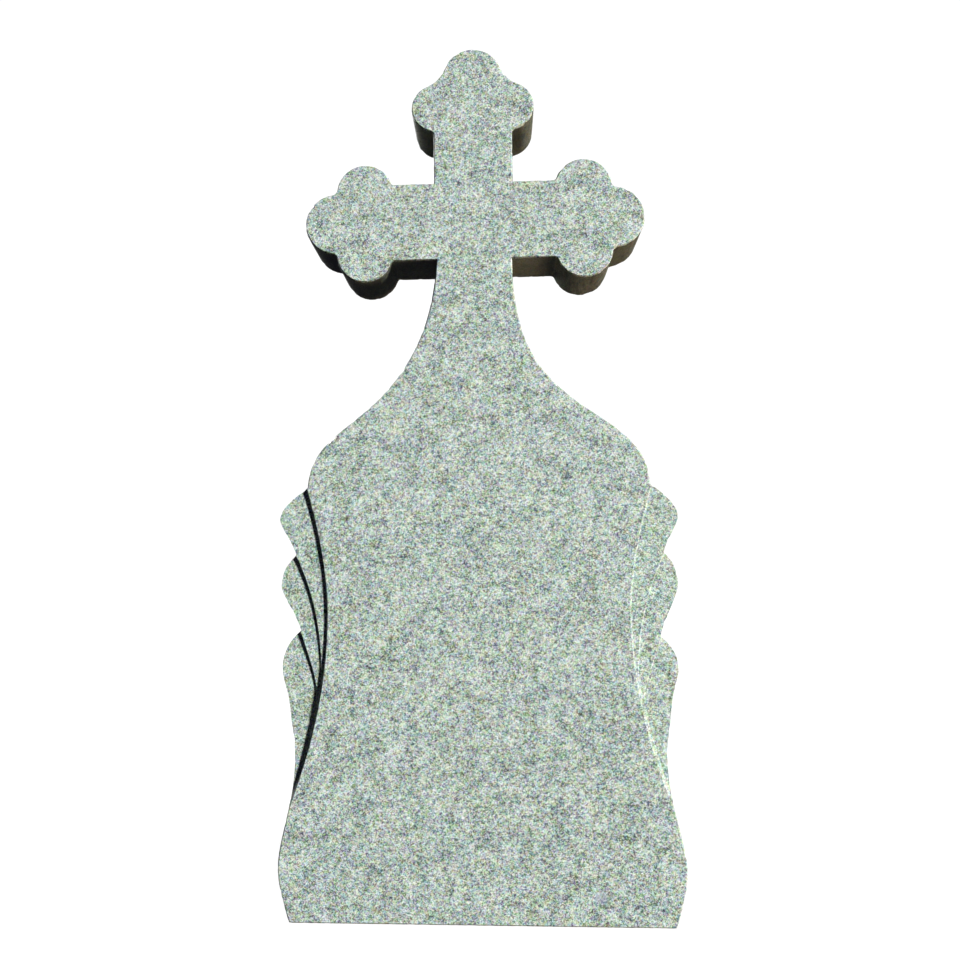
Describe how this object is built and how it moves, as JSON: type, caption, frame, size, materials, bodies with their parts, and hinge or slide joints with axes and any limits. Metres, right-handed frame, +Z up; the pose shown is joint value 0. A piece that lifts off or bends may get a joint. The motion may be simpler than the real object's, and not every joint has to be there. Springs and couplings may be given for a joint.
{
  "type": "granite headstone",
  "caption": "Upright granite headstone: one slab with a budded cross on a short neck, ogee shoulders and stepped feather scallops down both sides, standing on a flat underside.",
  "frame": {"origin": "middle of the underside, on the surface that the stone stands on", "axes": "+Z up along the stone's height, +X to the right as seen from the front, -Y out of the carved front face"},
  "size_m": [0.5614, 0.1, 1.2438],
  "materials": {
    "granite": "pale grey-green fine-grained granite, honed faces, darker polished edges"
  },
  "bodies": {
    "root": {"headstone": "granite"}
  },
  "joints": []
}
